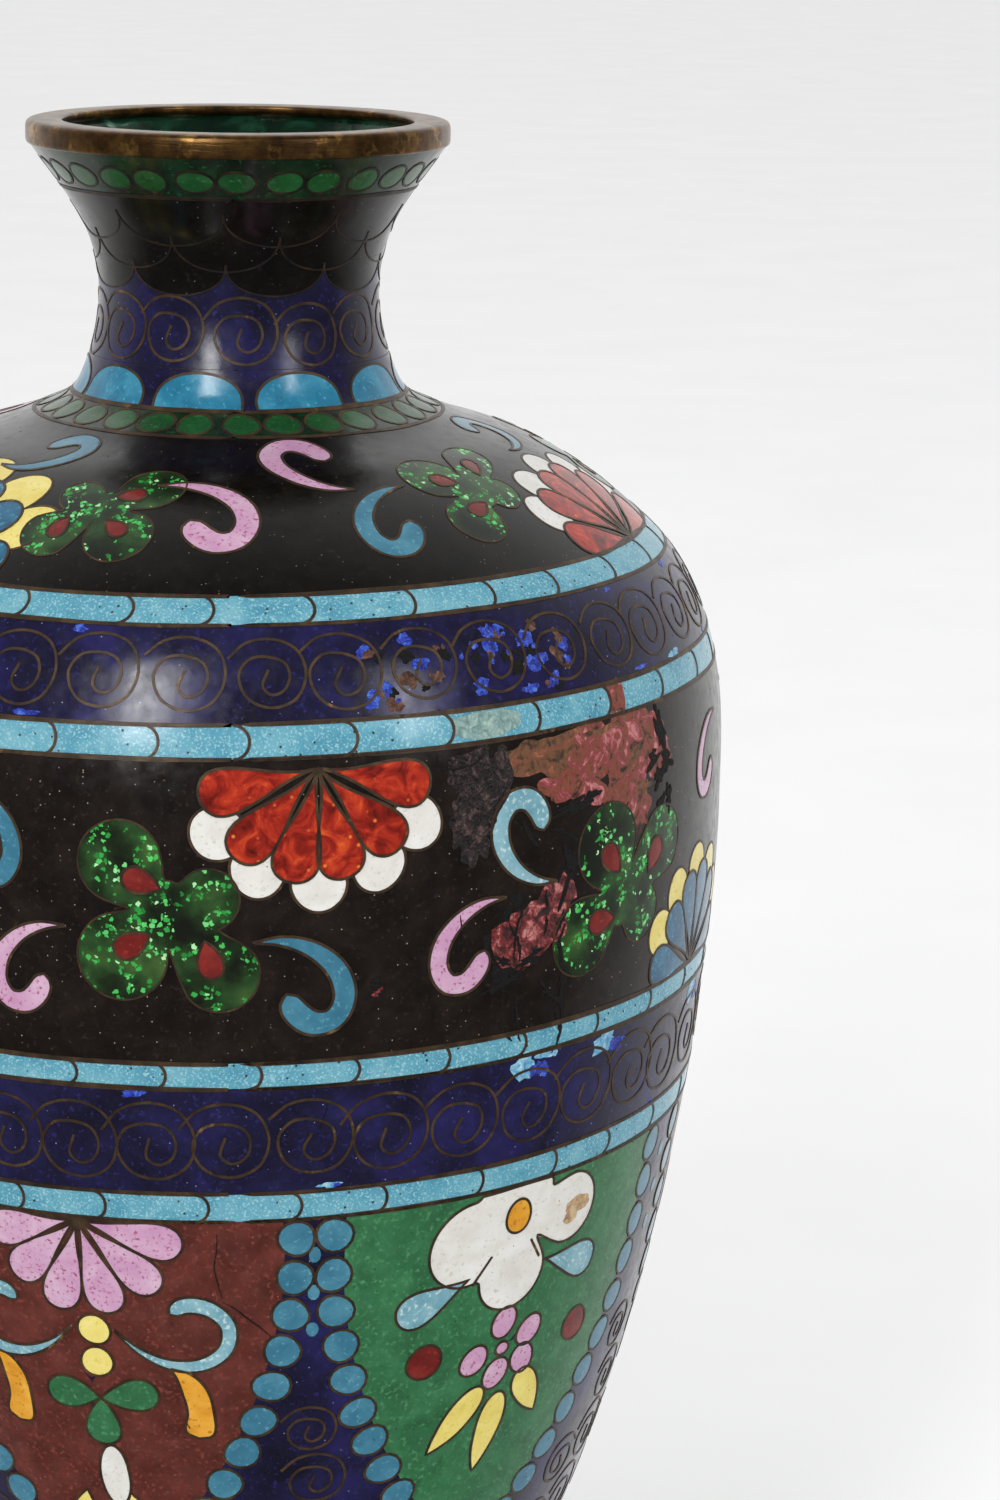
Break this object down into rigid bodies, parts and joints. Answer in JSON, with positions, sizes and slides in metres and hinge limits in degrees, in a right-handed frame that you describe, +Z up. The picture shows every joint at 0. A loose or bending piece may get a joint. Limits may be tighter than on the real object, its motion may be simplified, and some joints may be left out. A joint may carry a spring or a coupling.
{
  "type": "cloisonne vase",
  "caption": "Small baluster vase with a flared neck: copper body under wire-celled enamel, brass lip and foot, open at the top.",
  "frame": {"origin": "middle of the foot ring's flat underside", "axes": "+Z up along the vase's axis, out of the mouth; -Y faces the side shown in the picture"},
  "size_m": [0.0652, 0.0652, 0.13],
  "materials": {
    "copper_sheet": "bare sheet copper, hidden under enamel",
    "aged_brass": "aged brass, brown patina with rubbed gold patches",
    "wire_brass": "drawn brass wire, darkened",
    "counter_enamel": "dark green glossy enamel with pale spots",
    "green_enamel": "translucent green, polished",
    "black_enamel": "brown-black, polished, fine pores",
    "navy_enamel": "deep violet navy, polished",
    "blue_enamel": "turquoise blue, polished",
    "turquoise_enamel": "opaque pale turquoise, pitted with dark pores",
    "brick_red_enamel": "opaque brick red, pitted",
    "leaf_green_enamel": "opaque leaf green, pitted",
    "fan_red_enamel": "translucent orange-red, cloudy, flower petals",
    "aventurine_enamel": "dark translucent green full of bright green flakes, leaves",
    "pink_enamel": "opaque pink with magenta grains, commas and petals",
    "white_enamel": "opaque white with brown pinholes, petals",
    "yellow_enamel": "opaque yellow, petals and leaves",
    "amber_enamel": "opaque orange, drops"
  },
  "bodies": {
    "root": {"copper_neck": "copper_sheet", "copper_shoulder": "copper_sheet", "copper_belly": "copper_sheet", "copper_base": "copper_sheet", "floor_enamel": "counter_enamel", "underside_enamel": "counter_enamel", "neck_lining": "counter_enamel", "shoulder_lining": "counter_enamel", "belly_lining": "counter_enamel", "lip_ring": "aged_brass", "foot_ring": "aged_brass", "collar_beads": "green_enamel", "neck_scales": "black_enamel", "neck_scroll": "navy_enamel", "neck_petals": "blue_enamel", "shoulder_beads": "green_enamel", "shoulder_garden": "black_enamel", "turquoise_band_1": "turquoise_enamel", "scroll_band_1": "navy_enamel", "turquoise_band_2": "turquoise_enamel", "belly_garden": "black_enamel", "turquoise_band_3": "turquoise_enamel", "scroll_band_2": "navy_enamel", "turquoise_band_4": "turquoise_enamel", "turquoise_band_5": "turquoise_enamel", "foot_waves": "black_enamel", "turquoise_band_6": "turquoise_enamel", "foot_scroll": "navy_enamel", "wire_under_collar": "wire_brass", "wire_under_scales": "wire_brass", "wire_under_neck_scroll": "wire_brass", "wire_under_petals": "wire_brass", "wire_under_neck": "wire_brass", "wire_over_band_1": "wire_brass", "wire_under_band_1": "wire_brass", "wire_over_band_2": "wire_brass", "wire_under_band_2": "wire_brass", "wire_over_band_3": "wire_brass", "wire_under_band_3": "wire_brass", "wire_over_band_4": "wire_brass", "wire_under_band_4": "wire_brass", "wire_over_band_5": "wire_brass", "wire_under_band_5": "wire_brass", "wire_over_band_6": "wire_brass", "wire_under_band_6": "wire_brass", "lappet_1": "leaf_green_enamel", "lappet_2": "brick_red_enamel", "lappet_3": "leaf_green_enamel", "lappet_4": "brick_red_enamel", "lappet_5": "leaf_green_enamel", "lappet_6": "brick_red_enamel", "lappet_ground": "navy_enamel"}
  },
  "joints": []
}
